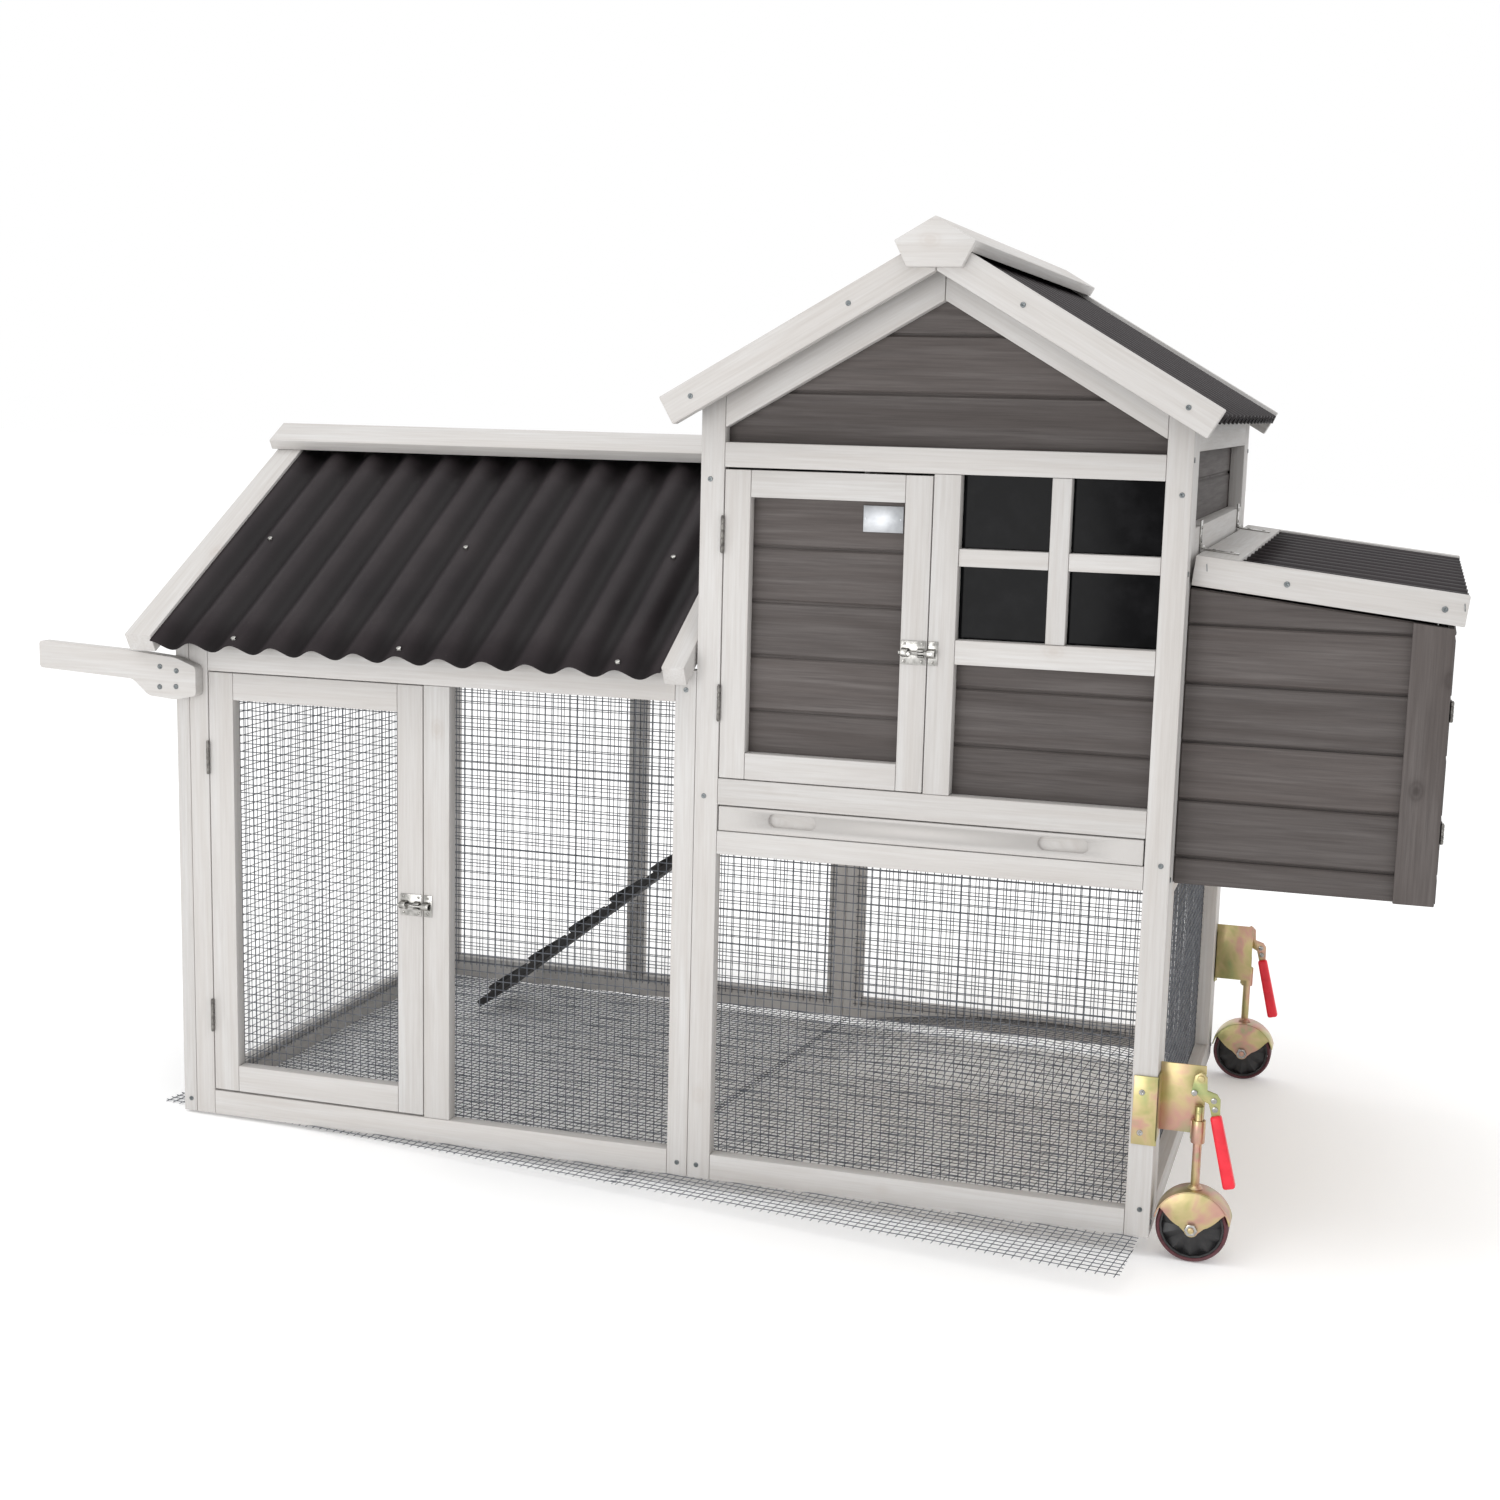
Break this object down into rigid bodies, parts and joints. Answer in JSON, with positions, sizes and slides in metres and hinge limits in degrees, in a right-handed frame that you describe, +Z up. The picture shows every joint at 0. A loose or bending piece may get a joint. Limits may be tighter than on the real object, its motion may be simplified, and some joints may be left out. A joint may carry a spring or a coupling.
{
  "type": "chicken coop",
  "caption": "Wooden chicken coop: raised gabled house with a side nest box and pull-out tray, a roofed wire-mesh run with a door, and drop-down wheels with lifting handles.",
  "frame": {"origin": "middle of the footprint's bounding box, at the level of the wheels' lowest points when they are let down", "axes": "+X along the coop from the run to the nest box, +Y from the doors to the back, +Z up"},
  "size_m": [2.078, 1.128, 1.385],
  "materials": {
    "white_wood": "whitewashed softwood, matte, grain showing faintly",
    "grey_wood": "brown-grey stained softwood boards, matte, knots and grain showing",
    "dark_wood": "charcoal stained wood, matte",
    "plywood": "plain softwood plywood, matte",
    "wire_mesh": "galvanised welded wire mesh, dull silver",
    "roof_sheet": "black-brown corrugated bitumen sheet, satin",
    "window_sheet": "dark gloss acrylic sheet",
    "zinc": "yellow zinc plated steel, iridescent",
    "tray_zinc": "galvanised steel sheet",
    "tyre": "black wheel with a dark red tread",
    "latch_nickel": "nickel plated steel"
  },
  "bodies": {
    "coop": {"run_front_frame": "white_wood", "run_back_frame": "white_wood", "run_left_frame": "white_wood", "run_bargeboard": "white_wood", "run_rafter": "white_wood", "run_ridge_cap": "white_wood", "house_front_frame": "white_wood", "house_back_frame": "white_wood", "house_right_frame": "white_wood", "bargeboard_front_left": "white_wood", "bargeboard_front_right": "white_wood", "bargeboard_back_left": "white_wood", "bargeboard_back_right": "white_wood", "house_ridge_cap": "white_wood", "apex_plate": "white_wood", "handle_front": "white_wood", "handle_back": "white_wood", "run_front_mesh": "wire_mesh", "run_back_mesh": "wire_mesh", "run_left_mesh": "wire_mesh", "house_front_mesh": "wire_mesh", "house_back_mesh": "wire_mesh", "house_right_mesh": "wire_mesh", "floor_mesh_left": "wire_mesh", "floor_mesh_right": "wire_mesh", "run_roof_front": "roof_sheet", "run_roof_back": "roof_sheet", "roof_sheet_left": "roof_sheet", "roof_sheet_right": "roof_sheet", "house_front_panel": "grey_wood", "gable_front_boards": "grey_wood", "house_back_boards": "grey_wood", "house_right_boards": "grey_wood", "house_left_wall": "grey_wood", "nest_front_wall": "grey_wood", "nest_back_wall": "grey_wood", "house_floor": "plywood", "perch": "plywood", "nest_floor": "plywood", "window_pane": "window_sheet", "ramp": "dark_wood", "wheel_bracket_front": "zinc", "wheel_bracket_back": "zinc"},
    "run_door": {"run_door_frame": "white_wood", "run_door_mesh": "wire_mesh"},
    "run_bolt": {"run_door_bolt": "latch_nickel"},
    "house_door": {"house_door_frame": "white_wood", "house_door_boards": "grey_wood"},
    "house_bolt": {"house_door_bolt": "latch_nickel"},
    "tray": {"tray_front": "white_wood", "tray_pan": "tray_zinc"},
    "nest_lid": {"nest_lid_frame": "white_wood", "nest_lid_sheet": "roof_sheet"},
    "nest_end": {"nest_end_door": "grey_wood"},
    "lever_front": {"wheel_lever_front": "zinc"},
    "plunger_front": {"wheel_hood_front": "zinc"},
    "caster_front": {"wheel_front": "tyre"},
    "lever_back": {"wheel_lever_back": "zinc"},
    "plunger_back": {"wheel_hood_back": "zinc"},
    "caster_back": {"wheel_back": "tyre"}
  },
  "joints": [
    {"name": "run_door_hinge", "type": "hinge", "parent": "coop", "child": "run_door", "pos_m": [-0.7585, -0.417, 0.397], "axis": [0, 0, -1], "range_deg": [0, 105]},
    {"name": "run_bolt_slide", "type": "slide", "parent": "run_door", "child": "run_bolt", "axis": [1, 0, 0], "range_m": [0, 0.012]},
    {"name": "house_door_hinge", "type": "hinge", "parent": "coop", "child": "house_door", "pos_m": [0.0535, -0.417, 0.838], "axis": [0, 0, -1], "range_deg": [0, 110]},
    {"name": "house_bolt_slide", "type": "slide", "parent": "house_door", "child": "house_bolt", "axis": [1, 0, 0], "range_m": [0, 0.012]},
    {"name": "tray_slide", "type": "slide", "parent": "coop", "child": "tray", "axis": [0, -1, 0], "range_m": [0, 0.6]},
    {"name": "nest_lid_hinge", "type": "hinge", "parent": "coop", "child": "nest_lid", "pos_m": [0.6885, 0.0435, 0.965], "axis": [0, -1, 0], "range_deg": [0, 70]},
    {"name": "nest_end_hinge", "type": "hinge", "parent": "coop", "child": "nest_end", "pos_m": [1.029, -0.372, 0.694], "axis": [0, 0, -1], "range_deg": [0, 100]},
    {"name": "lever_front_hinge", "type": "hinge", "parent": "coop", "child": "lever_front", "pos_m": [0.744, -0.402, 0.26], "axis": [0, -1, 0], "range_deg": [0, 150]},
    {"name": "plunger_front_slide", "type": "slide", "parent": "coop", "child": "plunger_front", "axis": [0, 0, 1], "range_m": [0, 0.035]},
    {"name": "caster_front_spin", "type": "hinge", "parent": "plunger_front", "child": "caster_front", "pos_m": [0.743, -0.39, 0.049], "axis": [0, 1, 0], "continuous": true},
    {"name": "lever_back_hinge", "type": "hinge", "parent": "coop", "child": "lever_back", "pos_m": [0.744, 0.489, 0.26], "axis": [0, -1, 0], "range_deg": [0, 150]},
    {"name": "plunger_back_slide", "type": "slide", "parent": "coop", "child": "plunger_back", "axis": [0, 0, 1], "range_m": [0, 0.035]},
    {"name": "caster_back_spin", "type": "hinge", "parent": "plunger_back", "child": "caster_back", "pos_m": [0.743, 0.477, 0.049], "axis": [0, 1, 0], "continuous": true}
  ],
  "couplings": [
    {"joint": "plunger_front_slide", "follows": "lever_front_hinge", "m_per_rad": 0.01336},
    {"joint": "plunger_back_slide", "follows": "lever_back_hinge", "m_per_rad": 0.01336}
  ]
}
